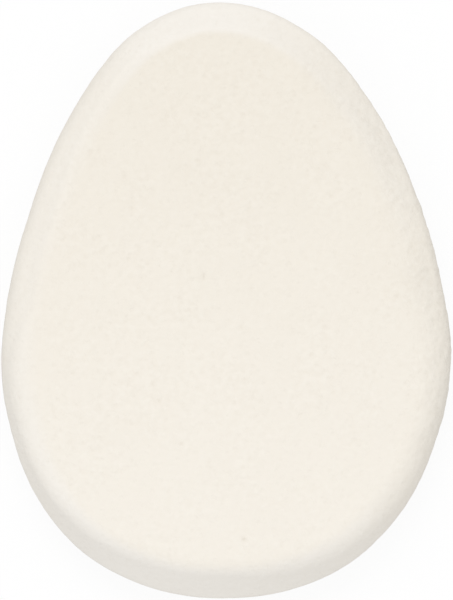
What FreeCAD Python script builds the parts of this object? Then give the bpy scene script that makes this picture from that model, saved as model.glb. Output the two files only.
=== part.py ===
import FreeCAD, Part

import math
import os

os.makedirs("parts", exist_ok=True)

# A flat egg-shaped makeup sponge: one pad of fine foam, cut to an egg and ground to a bevel on both sides.
# Sizes are millimetres. X runs across the pad, Y to its narrow end and Z up from the back face.

# Driving sizes of the egg, which is two end arcs joined by two longer side arcs
LENGTH = 80.0
WIDTH = 60.0
WIDEST_PLACE = 31.0  # from the blunt end to where the egg is widest
NARROW_RADIUS = 19.7

# Driving sizes of the rim's section
THICKNESS = 10.0
BEVEL_WIDTH = 3.8  # from the widest line in to the face, measured before the corner there is rounded
RIM_LAND = 1.0  # the upright strip between the two bevels
CORNER_ROUND = 2.5  # where a bevel runs into a face
RIM_ROUND = 0.8  # where a bevel runs into the upright strip

# The foam gives under the fingers, so it is stored in three layers, and the middle one is squeezed
FACE_LAYER = 2.4
BACK_LAYER = 2.4

# The other two radii, worked out so that each side arc runs smoothly into both end arcs at that width
TOP_REACH = LENGTH - WIDEST_PLACE - NARROW_RADIUS
SIDE_RADIUS = (TOP_REACH**2 / (WIDTH / 2 - NARROW_RADIUS) + WIDTH / 2 + NARROW_RADIUS) / 2
BLUNT_RADIUS = (WIDTH * SIDE_RADIUS - WIDTH**2 / 4 - WIDEST_PLACE**2) / (2 * (SIDE_RADIUS - WIDEST_PLACE))

# Centres of the arcs
BLUNT_Y = BLUNT_RADIUS - LENGTH / 2
NARROW_Y = LENGTH / 2 - NARROW_RADIUS
SIDE_Y = WIDEST_PLACE - LENGTH / 2
SIDE_X = SIDE_RADIUS - WIDTH / 2

RING_WIDTH = BEVEL_WIDTH + CORNER_ROUND  # the rim, from the widest line to well inside the flat face


def egg_arcs():
    """The four arcs of the egg, anticlockwise, as (centre x, centre y, radius, start, turn) in degrees."""
    low = math.degrees(math.atan2(BLUNT_Y - SIDE_Y, SIDE_X))
    high = math.degrees(math.atan2(NARROW_Y - SIDE_Y, SIDE_X))
    side_turn = high - low
    right = (-SIDE_X, SIDE_Y, SIDE_RADIUS, low, side_turn)
    narrow = (0, NARROW_Y, NARROW_RADIUS, high, 180 - 2 * high)
    left = (SIDE_X, SIDE_Y, SIDE_RADIUS, 180 - high, side_turn)
    blunt = (0, BLUNT_Y, BLUNT_RADIUS, 180 - low, 180 + 2 * low)
    return [right, narrow, left, blunt]


def arc_edge(x, y, radius, start, turn):
    """One arc of the egg, on the plane of the back face."""

    def point(degrees):
        angle = math.radians(degrees)
        return FreeCAD.Vector(x + radius * math.cos(angle), y + radius * math.sin(angle), 0)

    return Part.Arc(point(start), point(start + turn / 2), point(start + turn)).toShape()


def rounded_face(corners):
    """A flat face through corners, each (place, round), with an arc at every corner whose round isn't 0."""
    edges = []
    last = None
    first = None
    for i, (place, radius) in enumerate(corners):
        to_last = (corners[i - 1][0] - place).normalize()
        to_next = (corners[(i + 1) % len(corners)][0] - place).normalize()
        half = to_last.getAngle(to_next) / 2
        begin = place + to_last * (radius / math.tan(half))
        end = place + to_next * (radius / math.tan(half))
        if last is None:
            first = begin
        else:
            edges.append(Part.LineSegment(last, begin).toShape())
        if radius > 0:
            inward = (to_last + to_next).normalize()
            middle = place + inward * (radius / math.sin(half) - radius)
            edges.append(Part.Arc(begin, middle, end).toShape())
        last = end
    edges.append(Part.LineSegment(last, first).toShape())
    return Part.Face(Part.Wire(edges))


def rim_section(radius):
    """The rim's section on an arc of this radius, in the XZ plane with the arc's centre at the origin."""
    strip_low = (THICKNESS - RIM_LAND) / 2
    strip_high = (THICKNESS + RIM_LAND) / 2
    inner = radius - RING_WIDTH
    corner = radius - BEVEL_WIDTH
    return rounded_face(
        [
            (FreeCAD.Vector(inner, 0, 0), 0),
            (FreeCAD.Vector(corner, 0, 0), CORNER_ROUND),
            (FreeCAD.Vector(radius, 0, strip_low), RIM_ROUND),
            (FreeCAD.Vector(radius, 0, strip_high), RIM_ROUND),
            (FreeCAD.Vector(corner, 0, THICKNESS), CORNER_ROUND),
            (FreeCAD.Vector(inner, 0, THICKNESS), 0),
        ]
    )


def rim_sector(x, y, radius, start, turn):
    """The stretch of rim along one arc: its section turned about the arc's centre."""
    up = FreeCAD.Vector(0, 0, 1)
    section = rim_section(radius)
    section.rotate(FreeCAD.Vector(0, 0, 0), up, start)
    sector = section.revolve(FreeCAD.Vector(0, 0, 0), up, turn)
    sector.translate(FreeCAD.Vector(x, y, 0))
    return sector


def whole_pad():
    """The pad of foam in one piece: a flat plate with the bevelled rim around it."""
    inner = [arc_edge(x, y, radius - RING_WIDTH, start, turn) for x, y, radius, start, turn in egg_arcs()]
    plate = Part.Face(Part.Wire(inner)).extrude(FreeCAD.Vector(0, 0, THICKNESS))
    sectors = [rim_sector(*arc) for arc in egg_arcs()]
    return plate.multiFuse(sectors).removeSplitter().Solids[0]


def layer(pad, low, high):
    """The part of the pad between two heights."""
    reach = 2 * max(LENGTH, 2 * SIDE_RADIUS)
    slab = Part.makeBox(reach, reach, high - low, FreeCAD.Vector(-reach / 2, -reach / 2, low))
    return pad.common(slab).Solids[0]


pad = whole_pad()
core_low = BACK_LAYER
core_high = THICKNESS - FACE_LAYER
layers = {
    "back_foam": layer(pad, 0, core_low),
    "core_foam": layer(pad, core_low, core_high),
    "face_foam": layer(pad, core_high, THICKNESS),
}
for name, solid in layers.items():
    solid.exportStep(f"parts/{name}.step")
    print(f"{name}: {solid.Volume / 1000:.2f} cm3, valid {solid.isValid()}, {len(solid.Faces)} faces")

box = pad.optimalBoundingBox()
print(f"pad: {box.XLength:.2f} x {box.YLength:.2f} x {box.ZLength:.2f} mm, {pad.Volume / 1000:.2f} cm3")
print(f"radii: blunt end {BLUNT_RADIUS:.2f} mm, narrow end {NARROW_RADIUS:.2f} mm, sides {SIDE_RADIUS:.2f} mm")
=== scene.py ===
# %% [markdown]
# A flat egg-shaped makeup sponge. The real one is a single pad of very fine cream foam. It is cut
# from a sheet, and its edge is ground on a wheel, so a bevel runs all round on both sides. This
# lesson builds that pad as one closed mesh, gives it the foam's grain and pores, and lights it from
# above as in the photograph. The CAD model comes first, because its sizes and its bodies are the
# frame that everything here hangs on.

# %% Load the frame
import math

import bpy
import numpy as np
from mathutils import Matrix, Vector, kdtree, noise


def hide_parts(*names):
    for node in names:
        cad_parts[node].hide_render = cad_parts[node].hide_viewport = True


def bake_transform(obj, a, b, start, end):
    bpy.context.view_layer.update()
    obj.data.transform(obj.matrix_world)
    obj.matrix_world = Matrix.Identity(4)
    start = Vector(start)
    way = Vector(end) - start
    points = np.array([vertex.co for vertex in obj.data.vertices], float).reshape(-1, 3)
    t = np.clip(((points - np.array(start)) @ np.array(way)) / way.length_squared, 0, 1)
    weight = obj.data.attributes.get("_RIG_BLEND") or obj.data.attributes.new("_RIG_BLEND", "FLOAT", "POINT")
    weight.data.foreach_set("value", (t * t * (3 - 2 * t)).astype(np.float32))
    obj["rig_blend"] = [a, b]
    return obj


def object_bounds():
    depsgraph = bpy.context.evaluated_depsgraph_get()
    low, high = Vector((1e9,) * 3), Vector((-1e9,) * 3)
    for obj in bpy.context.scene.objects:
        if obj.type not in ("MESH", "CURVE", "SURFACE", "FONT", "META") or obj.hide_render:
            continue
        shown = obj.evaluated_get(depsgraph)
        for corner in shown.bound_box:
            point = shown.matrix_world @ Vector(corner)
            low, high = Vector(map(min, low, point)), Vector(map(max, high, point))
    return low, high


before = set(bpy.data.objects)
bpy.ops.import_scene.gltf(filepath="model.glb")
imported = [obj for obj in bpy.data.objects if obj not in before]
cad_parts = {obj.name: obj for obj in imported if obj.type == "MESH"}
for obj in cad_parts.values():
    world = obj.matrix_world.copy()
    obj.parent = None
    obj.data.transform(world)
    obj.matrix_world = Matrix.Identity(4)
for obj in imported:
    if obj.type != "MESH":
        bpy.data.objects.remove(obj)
cad_low, cad_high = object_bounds()

# %% [markdown]
# The length, width and thickness could be typed in again here, but they are read from the CAD box, so
# they can't drift from the model. The egg is two end arcs joined by two longer side arcs, and two more
# sizes fix it: how far from the blunt end it is widest, and how round its narrow end is. The other
# radii follow, because each side arc has to run smoothly into both ends.

# %% Sizes of the egg
MM = 0.001
WIDTH, LENGTH, THICKNESS = (high - low for low, high in zip(cad_low, cad_high))
HALF_WIDTH = WIDTH / 2
HALF_THICKNESS = THICKNESS / 2
WIDEST_PLACE = 31.0 * MM
NARROW_RADIUS = 19.7 * MM

top_reach = LENGTH - WIDEST_PLACE - NARROW_RADIUS
side_radius = (top_reach**2 / (HALF_WIDTH - NARROW_RADIUS) + HALF_WIDTH + NARROW_RADIUS) / 2
blunt_part = WIDTH * side_radius - HALF_WIDTH**2 - WIDEST_PLACE**2
blunt_radius = blunt_part / (2 * (side_radius - WIDEST_PLACE))
print(f"egg {LENGTH / MM:.1f} x {WIDTH / MM:.1f} x {THICKNESS / MM:.1f} mm")
print(f"blunt end {blunt_radius / MM:.1f} mm, sides {side_radius / MM:.1f} mm")

# %% [markdown]
# The outline could be a Bezier curve, but a row of points from the arcs is easier to weave into a
# mesh later. The points are spread evenly along the edge, anticlockwise. There are four times as
# many of them as there are squares along one side of the face's grid, because that grid's four
# sides have to meet them one to one. The first point is where the grid's lower left corner goes.

# %% The edge of the egg as evenly spaced points
FACE_SQUARES = 180
EDGE_POINTS = 4 * FACE_SQUARES
HALF_GRID_SIDE = 1 / 8
ARC_POINTS = 4000
blunt_y = blunt_radius - LENGTH / 2
narrow_y = LENGTH / 2 - NARROW_RADIUS
side_y = WIDEST_PLACE - LENGTH / 2
side_x = side_radius - HALF_WIDTH
low_turn = math.atan2(blunt_y - side_y, side_x)
high_turn = math.atan2(narrow_y - side_y, side_x)


def arc_points(x, y, radius, start, end):
    """Closely spaced points of one arc, without its last one."""
    angles = np.linspace(start, end, ARC_POINTS, endpoint=False)
    return np.stack([x + radius * np.cos(angles), y + radius * np.sin(angles)], axis=1)


def evenly_from_low_left(points):
    """A closed line's points in equal steps, from half a grid side before its lowest one."""
    closed = np.concatenate([points, points[:1]])
    along = np.concatenate([[0], np.cumsum(np.hypot(*np.diff(closed, axis=0).T))])
    start = along[np.argmin(points[:, 1])] / along[-1] - HALF_GRID_SIDE
    wanted = (start + np.arange(EDGE_POINTS) / EDGE_POINTS) % 1 * along[-1]
    return np.stack([np.interp(wanted, along, closed[:, i]) for i in range(2)], axis=1)


egg = evenly_from_low_left(
    np.concatenate(
        [
            arc_points(-side_x, side_y, side_radius, low_turn, high_turn),
            arc_points(0, narrow_y, NARROW_RADIUS, high_turn, math.pi - high_turn),
            arc_points(side_x, side_y, side_radius, math.pi - high_turn, math.pi - low_turn),
            arc_points(0, blunt_y, blunt_radius, math.pi - low_turn, 2 * math.pi + low_turn),
        ]
    )
)
print(f"edge: {EDGE_POINTS} points, one each {np.hypot(*(egg[1] - egg[0])) / MM:.2f} mm")

# %% [markdown]
# Foam is soft while it is cut and ground, so no two pads are quite alike. Noise could make the edge
# waver, but values chosen by direction follow the photograph. Two helpers take such values, at degrees
# counted anticlockwise from the right as seen from above. One reads them at any place, and the other
# gives a smooth value for every point of the edge. They first move the edge itself in and out by a few
# tenths of a millimetre.

# %% The small waver of the cut edge
EDGE_WAVER_MM = {
    0: 0.1, 15: -0.07, 30: -0.15, 45: 0.05, 60: -0.05, 75: -0.45, 95: 0.2, 105: 0.15, 120: 0.2,
    155: -0.4, 180: -0.1, 195: 0.15, 210: -0.35, 240: 0.5, 270: -0.2, 295: 0.2, 325: -0.6, 348: 0.4,
}
SMOOTHING_POINTS = 24
TANGENT_REACH = 2


def by_direction(values, points):
    """Values given at some directions, read off at the directions of these points."""
    degrees = np.degrees(np.arctan2(points[:, 1], points[:, 0]))
    return np.interp(degrees, list(values), list(values.values()), period=360)


def around(values):
    """Values given at some directions, spread smoothly over the edge's points."""
    spread = by_direction(values, egg)
    hump = np.hanning(SMOOTHING_POINTS + 2)[1:-1]
    padded = np.concatenate([spread[-SMOOTHING_POINTS:], spread, spread[:SMOOTHING_POINTS]])
    smooth = np.convolve(padded, hump / hump.sum(), mode="same")
    return smooth[SMOOTHING_POINTS:-SMOOTHING_POINTS]


def outward(points):
    """The direction square to a closed line at each of its points, pointing out of it."""
    tangent = np.roll(points, -TANGENT_REACH, axis=0) - np.roll(points, TANGENT_REACH, axis=0)
    across = np.stack([tangent[:, 1], -tangent[:, 0]], axis=1)
    return across / np.hypot(*across.T)[:, None]


waver_mm = around(EDGE_WAVER_MM)
edge = egg + waver_mm[:, None] * MM * outward(egg)
out = outward(edge)
print(f"waver: {waver_mm.min():.2f} to {waver_mm.max():.2f} mm")

# %% [markdown]
# The rim's section starts upright at the widest line, turns into the bevel through a round at its
# foot, runs up the flat bevel, and turns into the face through a round at its top. Each stretch is a
# line or an arc, so a point at any distance along it can be written down. A Bevel modifier would give
# one section all round. But foam gives against the wheel, so the bevel is crisp at the narrow end,
# flat with a wide round at its foot on the left, nearly one long round on the right, and steep at the
# two lower corners. Its lean in degrees, and its upright strip and two rounds in millimetres, are
# therefore given by direction.

# %% The rim's section
RIM_RINGS = 24
FACE_RIM = {
    "strip": {0: 0.3, 15: 1.1, 45: 0.4, 80: 1.8, 100: 0.4, 135: 0.8, 160: 0.6, 190: 0.3},
    "foot": {
        0: 2.8, 30: 2.3, 50: 0.9, 80: 1.6, 115: 4.3, 135: 3.6, 155: 3.2,
        190: 4.0, 215: 3.0, 235: 0.5, 300: 0.5, 318: 4.0, 330: 4.4, 342: 4.4,
    },
    "lean": {
        0: 33, 30: 35, 45: 44, 60: 33, 75: 30, 90: 36, 112: 40, 135: 35, 150: 35, 180: 30,
        198: 64, 225: 62, 250: 48, 270: 46, 282: 50, 300: 59, 315: 61, 330: 60, 341: 44, 352: 41,
    },
    "top": {
        0: 8.5, 60: 8.5, 80: 1.2, 110: 1.3, 130: 2.0, 180: 2.6, 200: 3.6, 225: 2.6,
        250: 4.0, 268: 3.4, 285: 4.4, 310: 4.6, 330: 4.2, 341: 5.0, 352: 7.4,
    },
}
BACK_RIM = {
    "strip": {0: 0.4, 180: 0.3},
    "foot": {0: 1.4, 90: 0.8, 180: 1.6, 270: 1.0},
    "lean": {0: 50, 90: 48, 180: 52, 270: 48},
    "top": {0: 3.0, 90: 2.0, 180: 2.5, 270: 3.0},
}


def section(rim):
    """Inset and rise of every ring at every edge point, from the widest line to the face."""
    lean = np.radians(around(rim["lean"]))
    strip_height, foot_round, top_round = (around(rim[part]) * MM for part in ("strip", "foot", "top"))
    climb = HALF_THICKNESS - strip_height - foot_round * np.cos(lean) - top_round * (1 - np.cos(lean))
    lengths = [strip_height, foot_round * (np.pi / 2 - lean), climb / np.sin(lean), top_round * lean]
    ends = np.cumsum([np.zeros(EDGE_POINTS)] + lengths, axis=0)
    along = ends[-1] * np.linspace(0, 1, RIM_RINGS + 1)[:, None]
    strip, foot, flat, top = (np.clip(along - end, 0, length) for end, length in zip(ends, lengths))
    foot_turn = foot / foot_round
    top_slope = lean - top / top_round
    inset = foot_round * (1 - np.cos(foot_turn)) + flat * np.cos(lean)
    inset += top_round * (np.sin(lean) - np.sin(top_slope))
    rise = strip + foot_round * np.sin(foot_turn) + flat * np.sin(lean)
    rise += top_round * (np.cos(top_slope) - np.cos(lean))
    return inset, rise


inset, rise = section(FACE_RIM)
print(f"bevel: {inset[-1].min() / MM:.1f} to {inset[-1].max() / MM:.1f} mm wide")
print(f"rise: {rise[-1].min() / MM:.2f} to {rise[-1].max() / MM:.2f} mm")
print(f"always up: {np.diff(rise, axis=0).min() >= 0}")

# %% [markdown]
# A flat face could be one many-sided polygon, but foam needs vertices all over it for its pores. A
# square grid is laid over the face instead: each of its square rings is bent to the outline and
# shrunk towards the middle, which keeps the squares nearly even, with no pinched centre. The grid's
# last ring is the last ring of the rim, so face and rim share their vertices.

# %% Quads of the rim and grid of the face
MIDDLE = np.array([0.0, -3.0 * MM])
TINY = 1e-9


def strip_quads(rings):
    """Quads between rings of vertex numbers, anticlockwise seen from outside the upper side."""
    after = np.roll(rings, -1, axis=1)
    return np.stack([rings[:-1], after[:-1], after[1:], rings[1:]], axis=-1).reshape(-1, 4)


def face_grid(ring, first_inside):
    """Vertex numbers of the face's grid, whose border is the given ring of vertex numbers."""
    n = FACE_SQUARES
    closed = np.append(ring, ring[0])
    grid = np.empty((n + 1, n + 1), int)
    grid[:, 0] = closed[: n + 1]
    grid[n, :] = closed[n : 2 * n + 1]
    grid[::-1, n] = closed[2 * n : 3 * n + 1]
    grid[0, ::-1] = closed[3 * n :]
    grid[1:n, 1:n] = first_inside + np.arange((n - 1) ** 2).reshape(n - 1, n - 1)
    return grid


def face_places(border):
    """Places of the grid's inner vertices, from the places of its border."""
    steps = np.linspace(-1, 1, FACE_SQUARES + 1)[1:-1]
    u, v = np.meshgrid(steps, steps, indexing="ij")
    reach = np.maximum(np.maximum(abs(u), abs(v)), TINY)
    # A square ring is 8 reaches long, and its lower left corner lies 1 reach before u = 0.
    sides = [(v == -reach, u), (u == reach, 2 * reach + v), (v == reach, 4 * reach - u)]
    travel = np.select([test for test, _ in sides], [way for _, way in sides], 6 * reach - v)
    spot = (travel / reach + 1) / 8 * EDGE_POINTS
    closed = np.concatenate([border, border[:1]])
    whole = np.arange(EDGE_POINTS + 1)
    at = np.stack([np.interp(spot, whole, closed[:, i]) for i in range(2)], axis=-1)
    return (MIDDLE + reach[..., None] * (at - MIDDLE)).reshape(-1, 2)


print(f"grid: {FACE_SQUARES} squares along each of its four sides")

# %% [markdown]
# Both sides of the pad are woven in the same way: first the rings of the rim, each further in and
# further from the widest line, and then the grid inside the last one. A Mirror modifier could make the
# back from the face, but the back has a plainer bevel of its own. It is woven upside down instead, with
# the corners of its quads counted the other way round. Both sides start from the same ring of vertices
# on the widest line, which closes the pad.

# %% Weave both sides of the pad
def weave_side(rim, up, widest_ring, first):
    """One side of the pad: the places of its new vertices, and its quads."""
    inset, rise = section(rim)
    rings = edge - inset[1:, :, None] * out
    heights = HALF_THICKNESS + up * rise[1:]
    inside = face_places(rings[-1])
    flat = np.full(len(inside), HALF_THICKNESS + up * HALF_THICKNESS)
    places = np.concatenate(
        [
            np.concatenate([rings.reshape(-1, 2), inside]),
            np.concatenate([heights.ravel(), flat])[:, None],
        ],
        axis=1,
    )
    numbers = first + np.arange(RIM_RINGS * EDGE_POINTS).reshape(RIM_RINGS, EDGE_POINTS)
    grid = face_grid(numbers[-1], first + RIM_RINGS * EDGE_POINTS)
    squares = np.stack([grid[:-1, :-1], grid[1:, :-1], grid[1:, 1:], grid[:-1, 1:]], axis=-1)
    quads = np.concatenate([strip_quads(np.vstack([widest_ring, numbers])), squares.reshape(-1, 4)])
    return places, quads if up > 0 else quads[:, ::-1]


widest_ring = np.arange(EDGE_POINTS)
widest_places = np.column_stack([edge, np.full(EDGE_POINTS, HALF_THICKNESS)])
face_side, face_quads = weave_side(FACE_RIM, 1, widest_ring, EDGE_POINTS)
back_side, back_quads = weave_side(BACK_RIM, -1, widest_ring, EDGE_POINTS + len(face_side))
places = np.concatenate([widest_places, face_side, back_side])
quads = np.concatenate([face_quads, back_quads])

scene = bpy.context.scene
mesh = bpy.data.meshes.new("sponge")
mesh.from_pydata(places.tolist(), [], quads.tolist())
mesh.shade_smooth()
sponge = bpy.data.objects.new("sponge", mesh)
scene.collection.objects.link(sponge)
print(f"sponge: {len(places)} vertices, {len(quads)} quads, valid {not mesh.validate()}")

# %% [markdown]
# The wheel leaves a ground band of about the same width all round, whatever the bevel's slope. Its
# inner border is sharp at the narrow end and fades over more millimetres on the left. It could be
# painted on by hand, but it also follows from each vertex's distance to the edge, seen from above.
# Measuring every vertex against every edge point would be slow, so the edge goes into a search tree
# first.

# %% The ground band along the edge
GROUND_WIDTH = 4.3 * MM
GROUND_FADE_MM = {60: 1.4, 80: 0.8, 110: 0.8, 135: 2.2, 190: 2.2, 230: 1.2}

edge_tree = kdtree.KDTree(EDGE_POINTS)
for i, (x, y) in enumerate(edge):
    edge_tree.insert((x, y, 0), i)
edge_tree.balance()
from_edge = np.array([edge_tree.find((x, y, 0))[2] for x, y in places[:, :2]])
fade = by_direction(GROUND_FADE_MM, places) * MM
ground = np.clip(0.5 - (from_edge - GROUND_WIDTH) / fade, 0, 1)
print(f"ground band: {np.count_nonzero(ground)} of {len(places)} vertices")

# %% [markdown]
# Here and there a larger cell of the foam lies open as a shallow pore. A Displace modifier could sink
# such pores, but plain code puts the few larger ones where the photograph shows them, each on the
# vertex nearest to its place, so that none falls between two vertices. Small ones are scattered over
# both sides. Only their depths are gathered here, and the vertices move in the next step.

# %% Pores
PORE_SEED = 7
LARGE_PORES_MM = {
    (2.4, -31.6): 1.0, (-8.7, -13.2): 0.6, (-5.9, -18.6): 0.6,
    (11.9, 23.0): 0.4, (-3.0, 3.3): 0.8, (2.1, -3.4): 0.5,
}
LARGE_PORE_RADIUS, LARGE_PORE_DEPTH = 0.5 * MM, 0.15 * MM
SMALL_PORES = 420
SMALL_PORE_RADII_MM, SMALL_PORE_DEPTHS_MM = (0.3, 0.5), (0.02, 0.06)
FACING = 0.5
rng = np.random.default_rng(PORE_SEED)
normals = np.empty(len(places) * 3)
mesh.vertex_normals.foreach_get("vector", normals)
normals = normals.reshape(-1, 3)


def dent(depths, x, y, side, radius, depth):
    """Adds one round pore to the depths of the vertices that face up, or down, on its side."""
    away = np.hypot(places[:, 0] - x, places[:, 1] - y) / radius
    inside = (normals[:, 2] * side > FACING) & (away < 1)
    depths += np.where(inside, depth * (1 - away**2) ** 2, 0)


depths = np.zeros(len(places))
for wanted, share in LARGE_PORES_MM.items():
    nearest = np.argmin(np.hypot(*(face_side[:, :2] - np.array(wanted) * MM).T))
    dent(depths, *face_side[nearest, :2], 1, LARGE_PORE_RADIUS, share * LARGE_PORE_DEPTH)
for _ in range(SMALL_PORES):
    x, y = rng.uniform(-0.5, 0.5, 2) * (WIDTH, LENGTH)
    side = rng.choice([-1, 1])
    radius = rng.uniform(*SMALL_PORE_RADII_MM) * MM
    dent(depths, x, y, side, radius, rng.uniform(*SMALL_PORE_DEPTHS_MM) * MM)
print(f"pores: {np.count_nonzero(depths)} vertices, up to {depths.max() / MM:.2f} mm deep")

# %% [markdown]
# Foam is never quite flat. Each vertex moves a little along its normal: by a slow swell over the whole
# pad, by lumps and a fine grain, and by the pores. A Displace modifier could do this too, but in plain
# code the lumps and the grain can grow where the wheel has torn the bevel, most of all on the right.
# Everything is moved in by a hair first, so that the highest spots stay within the CAD faces, and the
# pad is then set down on its lowest spot.

# %% Grain
MOVED_IN = 0.07 * MM
SWELL, SWELL_SIZE = 0.05 * MM, 14 * MM
LUMP, LUMP_SIZE = 0.02 * MM, 2.2 * MM
GRAIN, GRAIN_SIZE = 0.015 * MM, 0.8 * MM
TORN_LUMP, TORN_GRAIN = 0.03 * MM, 0.08 * MM
TORN = {0: 1.0, 50: 1.0, 75: 0.3, 95: 0.1, 180: 0.2, 240: 0.1, 285: 0.05, 315: 0.5, 335: 0.9}
FIELD_SHIFT = (13.7, 7.3, 3.1)


def field(size, seed):
    """Smooth noise from -1 to 1 at every vertex, with lumps of about this size."""
    shift = Vector([seed * step for step in FIELD_SHIFT])
    return np.array([noise.noise(Vector(p) / size + shift) for p in places])


torn = ground * by_direction(TORN, places)
height = SWELL * field(SWELL_SIZE, seed=1) + (LUMP + TORN_LUMP * torn) * field(LUMP_SIZE, seed=2)
height += (GRAIN + TORN_GRAIN * torn) * field(GRAIN_SIZE, seed=3) - depths - MOVED_IN
moved = places + normals * height[:, None]
moved[:, 2] -= moved[:, 2].min()
mesh.vertices.foreach_set("co", moved.ravel())
mesh.update()
print(f"grain and pores: moved by {height.min() / MM:.2f} to {height.max() / MM:.2f} mm")

# %% [markdown]
# Shader nodes can be added and linked one by one, but what they work out is easier to read as a sum.
# This small class wraps one output socket of a node, and its operators add Math nodes, so that
# 1 - mask or mask * 0.5 can be written as they are. Every other node comes from one method: it sets
# the node's settings first, and then fills its sockets with values or links.

# %% A socket that can be calculated with
class Socket:
    """An output socket of a shader node, with operators that add Math nodes beside it."""

    def __init__(self, socket):
        self.socket = socket

    @classmethod
    def node(cls, tree, kind, settings=None, sockets=None, output=0):
        """Adds a node, sets its settings, fills its sockets with values or links, gives one output."""
        made = tree.nodes.new(kind)
        for name, setting in (settings or {}).items():
            setattr(made, name, setting)
        for name, value in (sockets or {}).items():
            if isinstance(value, Socket):
                tree.links.new(value.socket, made.inputs[name])
            else:
                made.inputs[name].default_value = value
        return cls(made.outputs[output]) if made.outputs else None

    def math_node(self, operation, first, second):
        """Adds a Math node to the socket's own tree."""
        settings = {"operation": operation}
        return self.node(self.socket.id_data, "ShaderNodeMath", settings, {0: first, 1: second})

    def __add__(self, other):
        return self.math_node("ADD", self, other)

    __radd__ = __add__

    def __sub__(self, other):
        return self.math_node("SUBTRACT", self, other)

    def __rsub__(self, other):
        return self.math_node("SUBTRACT", other, self)

    def __mul__(self, other):
        return self.math_node("MULTIPLY", self, other)

    __rmul__ = __mul__

    def __abs__(self):
        return self.math_node("ABSOLUTE", self, 0.0)


def new_material(name):
    """A material with an empty node tree."""
    material = bpy.data.materials.new(name)
    material.use_nodes = True
    material.node_tree.nodes.clear()
    return material


print("a socket can now be added, subtracted, multiplied and made positive")

# %% [markdown]
# Four notes are kept on the mesh for the material: where each vertex lay at rest, so that the grain
# stays put when the foam is squeezed, how white and how torn the ground foam is there, and how deep a
# pore is. They could be painted as colours, but mesh attributes hold plain numbers, one to a vertex.
# The ground bevel is a little whiter than the face, most of all at the two ends. Part of this comes
# from the freshly opened cells that the wheel leaves. The rest is painted light: a painted highlight
# where the light falls on the narrow end, and a cool painted tint on the shaded blunt end.

# %% Notes on the mesh for the material
# Whiteness of the ground band by direction: freshly opened foam, with painted light in it.
FRESH_AND_PAINTED_LIGHT = {
    15: 0.0, 30: 0.2, 70: 0.4, 90: 0.9, 105: 0.8, 120: 0.45, 180: 0.4,
    200: 0.5, 225: 0.7, 240: 0.95, 270: 0.95, 290: 0.75, 315: 0.0,
}


def keep_note(name, values):
    """Keeps one number for every vertex on the mesh."""
    kept = mesh.attributes.new(name, "FLOAT", "POINT")
    kept.data.foreach_set("value", values)


rest_note = mesh.attributes.new("rest", "FLOAT_VECTOR", "POINT")
rest_note.data.foreach_set("vector", moved.ravel())
keep_note("fresh_and_painted_light", ground * by_direction(FRESH_AND_PAINTED_LIGHT, places))
keep_note("torn", torn)
keep_note("pore", np.minimum(depths / LARGE_PORE_DEPTH, 1))
print("notes:", [a.name for a in mesh.attributes if not a.is_internal])

# %% [markdown]
# The foam is cream, matt and very finely pored. A picture of real foam could be laid on it, but noise
# has no edges or repeats, and it stays sharp at any distance. The helpers come first: they read the
# notes, and make soft noise, smooth steps, mixed colours and scattered round spots, all from the place
# at rest.

# %% Helpers for the foam
NOISE_MIDDLE = 0.5
MIX_FIRST, MIX_SECOND, MIX_RESULT = 6, 7, 2
SPOT_CORE = 0.1
CHANCE_STEP = 0.1
foam = new_material("foam")
tree = foam.node_tree


def note(name, output="Fac"):
    """Reads a note that is kept on the mesh."""
    return Socket.node(tree, "ShaderNodeAttribute", {"attribute_name": name}, output=output)


rest = note("rest", "Vector")


def cloud(per_mm, detail):
    """Soft noise around its middle, with so many lumps to a millimetre."""
    return Socket.node(
        tree, "ShaderNodeTexNoise", None, {"Vector": rest, "Scale": per_mm / MM, "Detail": detail}
    )


def ramp(value, start, end):
    """0 at start, 1 at end, smooth between them and steady beyond them."""
    return Socket.node(
        tree,
        "ShaderNodeMapRange",
        {"interpolation_type": "SMOOTHSTEP"},
        {"Value": value, "From Min": start, "From Max": end},
    )


def blend_colours(share, first, second):
    """The first colour where share is 0, and the second where it is 1."""
    return Socket.node(
        tree,
        "ShaderNodeMix",
        {"data_type": "RGBA"},
        {"Factor": share, MIX_FIRST: first, MIX_SECOND: second},
        output=MIX_RESULT,
    )


def cells(per_mm, size, few):
    """Round spots, so many to a millimetre, this large for their spacing, on a few of the cells."""
    grid = {"Vector": rest, "Scale": per_mm / MM}
    away = Socket.node(tree, "ShaderNodeTexVoronoi", None, grid, output="Distance")
    chance = Socket.node(tree, "ShaderNodeTexVoronoi", None, grid, output="Color")
    return ramp(away, size, SPOT_CORE) * ramp(chance, few, few + CHANCE_STEP)


print(f"helpers: they work from the note named {rest.socket.node.attribute_name}")

# %% [markdown]
# The cream is painted a little paler towards the blunt end, where the face is lit a little more
# strongly, so this is a painted gradient of light. The ground band is nearer to white, partly from its
# freshly opened foam and partly as painted light. A Color Ramp could hold these colours, but three named
# colours and two mixes are easier to change.

# %% The foam's cream
# The two end creams are one cream with a painted gradient of light between them.
PAINTED_LIGHT_BLUNT_CREAM = (0.944, 0.897, 0.816, 1)
PAINTED_SHADE_NARROW_CREAM = (0.904, 0.852, 0.760, 1)
# The whiter foam of the ground band, partly freshly opened foam and partly painted light.
FRESH_AND_PAINTED_LIGHT_CREAM = (0.936, 0.902, 0.846, 1)
place_along = Socket.node(tree, "ShaderNodeSeparateXYZ", None, {"Vector": rest}, output="Y")
fresh_and_painted_light = note("fresh_and_painted_light")
cream = blend_colours(ramp(place_along, -LENGTH / 2, LENGTH / 2), PAINTED_LIGHT_BLUNT_CREAM, PAINTED_SHADE_NARROW_CREAM)
# Whitens the ground band: freshly opened foam and painted light.
cream = blend_colours(fresh_and_painted_light, cream, FRESH_AND_PAINTED_LIGHT_CREAM)
print(f"cream: {len(tree.nodes)} nodes")
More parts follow.
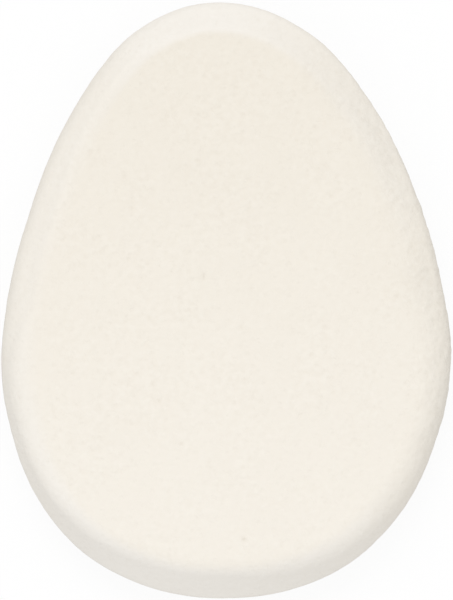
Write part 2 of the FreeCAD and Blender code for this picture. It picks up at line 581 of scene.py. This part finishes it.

# %% [markdown]
# The grain of the skin is mostly painted shade and painted highlight that follow its small relief.
# Open cells, short wandering fissures where cells have run together, the low spots among the soft
# specks, and the pores get painted shade. Raised cells and the specks' high spots get a painted
# highlight. These gather in patches, and are fainter towards the blunt end and on the whiter ground
# band. Torn foam has a fuzz of its own, with painted shade in its hollows and a painted highlight on
# its tips. Only the slow drift over the whole pad is the foam's own uneven tone. Each mark could have
# a colour, but a share of one warm shade keeps them alike, as shadows in the same foam are.

# %% The foam's marks
specks = cloud(per_mm=1.1, detail=1.5)
fuzz = cloud(per_mm=1.6, detail=2)
open_cells = cells(per_mm=1.2, size=0.5, few=0.45)
raised_cells = cells(per_mm=1.0, size=0.5, few=0.5)
FISSURE_HALF_WIDTH = 0.06
FISSURE_STEP = (0.48, 0.62)
from_middle = abs(cloud(per_mm=0.8, detail=1) - NOISE_MIDDLE)
fissures = ramp(from_middle, FISSURE_HALF_WIDTH, 0.0) * ramp(cloud(per_mm=0.5, detail=1), *FISSURE_STEP)

PATCH_LEAST, PATCH_STEP = 0.4, (0.35, 0.6)
BLUNT_LEAST, BLUNT_STEP = 0.7, (-25 * MM, -5 * MM)
LESS_ON_FRESH = 0.35
patches = PATCH_LEAST + (1 - PATCH_LEAST) * ramp(cloud(per_mm=0.15, detail=1), *PATCH_STEP)
towards_narrow_end = BLUNT_LEAST + (1 - BLUNT_LEAST) * ramp(place_along, *BLUNT_STEP)
gathered = patches * towards_narrow_end * (1 - fresh_and_painted_light * LESS_ON_FRESH)

# The warm painted shade that is mixed into the cream.
PORE_SHADE = (0.62, 0.53, 0.41, 1)
EVEN_SHARE = 0.04
SPECK_SHARE = 0.24
CELL_SHARE = 0.05
FISSURE_SHARE = 0.03
FUZZ_SHARE = 0.2
DRIFT_SHARE = 0.06
PORE_SHARE = 0.2
torn_foam = note("torn")
# Painted shade in open cells, fissures and low specks, and painted highlight on raised ones.
grain = (NOISE_MIDDLE - specks) * SPECK_SHARE + open_cells * CELL_SHARE - raised_cells * CELL_SHARE
grain += fissures * FISSURE_SHARE
# Painted shade in the hollows of the torn fuzz, and painted highlight on its tips.
torn_painted_shade = torn_foam * (NOISE_MIDDLE - fuzz) * FUZZ_SHARE
drift = (cloud(per_mm=0.1, detail=2) - NOISE_MIDDLE) * DRIFT_SHARE
# Painted shade and highlight, the foam's own drift in tone, and painted shade in the pores.
painted_shade_and_tone = EVEN_SHARE + grain * gathered + torn_painted_shade + drift + note("pore") * PORE_SHARE
foam_colour = blend_colours(painted_shade_and_tone, cream, PORE_SHADE)
print(f"cream and marks: {len(tree.nodes)} nodes")

# %% [markdown]
# The same marks give the skin its relief. They could be vertices moved in and out, but they are finer
# than the mesh, so a Bump node bends the light for them. Foam has next to no gloss, so the surface is
# rough all over, and a little rougher on the specks that stand out.

# %% The foam's surface
FISSURE_DEPTH = 0.5
RAISED_HEIGHT = 0.6
FUZZ_HEIGHT = 3
RELIEF_STRENGTH, RELIEF_DEPTH = 0.5, 0.05 * MM
ROUGHNESS, SPECK_ROUGHNESS = 0.82, 0.15
SPECULAR_LEVEL = 0.2
relief = specks - fissures * FISSURE_DEPTH - open_cells + raised_cells * RAISED_HEIGHT
relief += torn_foam * fuzz * FUZZ_HEIGHT
bump = Socket.node(
    tree,
    "ShaderNodeBump",
    None,
    {"Strength": RELIEF_STRENGTH, "Distance": RELIEF_DEPTH, "Height": relief},
)
skin = Socket.node(
    tree,
    "ShaderNodeBsdfPrincipled",
    None,
    {
        "Base Color": foam_colour,
        "Roughness": ROUGHNESS + specks * SPECK_ROUGHNESS,
        "Specular IOR Level": SPECULAR_LEVEL,
        "Normal": bump,
    },
)
Socket.node(tree, "ShaderNodeOutputMaterial", None, {"Surface": skin})
mesh.materials.append(foam)
print(f"foam: {len(tree.nodes)} nodes")

# %% [markdown]
# The photograph is taken on white in soft, even light, most of which comes from all round. A ring of
# lamps could give it, but the world does so with one strength. The camera sees the world as full white,
# while the pad is lit by less than that, which leaves room for the lamps.

# %% World
WHITE = (1, 1, 1, 1)
WORLD_LIGHT = 0.72
scene.view_settings.view_transform = "Standard"


def seen_directly(tree):
    """1 where the camera, a mirror or a glass shows this surface, and else 0."""
    rays = ("Is Camera Ray", "Is Glossy Ray", "Is Transmission Ray")
    camera, glossy, transmitted = (Socket.node(tree, "ShaderNodeLightPath", output=ray) for ray in rays)
    seen = camera + glossy + transmitted
    return seen.math_node("MINIMUM", seen, 1.0)


world = bpy.data.worlds.new("studio")
world.use_nodes = True
world.node_tree.nodes.clear()
scene.world = world
sky_strength = WORLD_LIGHT + seen_directly(world.node_tree) * (1 - WORLD_LIGHT)
sky = Socket.node(
    world.node_tree, "ShaderNodeBackground", None, {"Color": WHITE, "Strength": sky_strength}
)
Socket.node(world.node_tree, "ShaderNodeOutputWorld", None, {"Surface": sky})
print(f"world: {WORLD_LIGHT} of full light from all round")

# %% [markdown]
# Without a floor the pad would float in views from the side, so it lies on a white sheet. A plain white
# material would look grey wherever the light is weak, so the sheet mixes in a glow of its own where it
# is looked at, and keeps some of the pad's shadow. It throws back less light than it shows, which leaves
# the pad's edge a little darker.

# %% Floor
FLOOR_GREY = 0.65
FLOOR_WHITE_SHARE = 0.9
FLOOR_SIZE = 4.0
paper = new_material("paper")
seen = seen_directly(paper.node_tree)
matt = Socket.node(
    paper.node_tree, "ShaderNodeBsdfDiffuse", None, {"Color": FLOOR_GREY + seen * (1 - FLOOR_GREY)}
)
white = Socket.node(paper.node_tree, "ShaderNodeEmission", None, {"Color": WHITE, "Strength": 1.0})
sheet = {0: seen * FLOOR_WHITE_SHARE, 1: matt, 2: white}
surface = Socket.node(paper.node_tree, "ShaderNodeMixShader", None, sheet)
Socket.node(paper.node_tree, "ShaderNodeOutputMaterial", None, {"Surface": surface})

half = FLOOR_SIZE / 2
corners = [(-half, -half, 0), (half, -half, 0), (half, half, 0), (-half, half, 0)]
floor_mesh = bpy.data.meshes.new("floor")
floor_mesh.from_pydata(corners, [], [(0, 1, 2, 3)])
floor_mesh.materials.append(paper)
floor = bpy.data.objects.new("floor", floor_mesh)
scene.collection.objects.link(floor)
print(f"floor: {FLOOR_SIZE:.0f} m square")

# %% [markdown]
# One large lamp leans on the pad from above its narrow end, a little from the left, so the bevel is
# lightest at the top of the picture and darkest at the lower right. A smaller one, low beyond the blunt
# end, keeps that end from going grey. Spot lamps could stand there too, but a wide square of light
# gives the soft change from light to shade that the photograph shows. A lamp's energy is worked out
# from the share of full light that it should add at the pad.

# %% Lamps
def lamp(name, place, size, share):
    """A soft square lamp that points at the pad and adds this share of full light to what faces it."""
    data = bpy.data.lights.new(name, "AREA")
    data.size = size
    data.energy = share * math.pi**2 * Vector(place).length_squared
    made = bpy.data.objects.new(name, data)
    made.location = place
    made.rotation_euler = Vector(place).to_track_quat("Z", "Y").to_euler()
    scene.collection.objects.link(made)


lamp("narrow_end_lamp", place=(-0.12, 0.72, 0.92), size=0.7, share=0.306)
lamp("blunt_end_lamp", place=(-0.06, -0.4, 0.3), size=0.3, share=0.104)

# %% [markdown]
# The camera looks straight down. An orthographic one would do, but a long lens shows the pad nearly the
# same way and is what a photographer would use. Its distance is set so that one pixel of the 453 by 600
# picture covers as much of the widest line's plane as in the photograph. The pad lies a hair off the
# middle there, and is turned by a third of a degree.

# %% Camera
IMAGE_HEIGHT_PIXELS = 600
PAD_LENGTH_PIXELS = 596.7
PIXEL = LENGTH / PAD_LENGTH_PIXELS
LENS_MM, SENSOR_MM = 200, 36
OFF_CENTRE_PIXELS = (1.4, 1.5)
TURN = -0.006
CLIP_START = 0.01
camera_data = bpy.data.cameras.new("camera")
camera_data.sensor_fit = "VERTICAL"
camera_data.sensor_height = SENSOR_MM
camera_data.lens = LENS_MM
camera_data.clip_start = CLIP_START
camera = bpy.data.objects.new("camera", camera_data)
above = IMAGE_HEIGHT_PIXELS * PIXEL * LENS_MM / SENSOR_MM
off_x, off_y = (pixels * PIXEL for pixels in OFF_CENTRE_PIXELS)
camera.location = (off_x, off_y, HALF_THICKNESS + above)
camera.rotation_euler = (0, 0, TURN)
scene.collection.objects.link(camera)
scene.camera = camera
print(f"camera {above / MM:.0f} mm above the widest line, {PIXEL / MM:.4f} mm to a pixel")

# %% [markdown]
# Last, the mesh is tied to the frame. It stands for all three layers of the CAD model, which are
# layers of one foam. Three meshes could stand for them one by one, but they would show seams that the
# real pad hasn't. Between the back body and the face body the one mesh gives smoothly, so the pad
# flattens when the face is pressed down.

# %% Tie the sponge to its bodies
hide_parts("back_foam", "core_foam", "face_foam")
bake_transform(sponge, "back", "face", start=(0, 0, 0), end=(0, 0, THICKNESS))
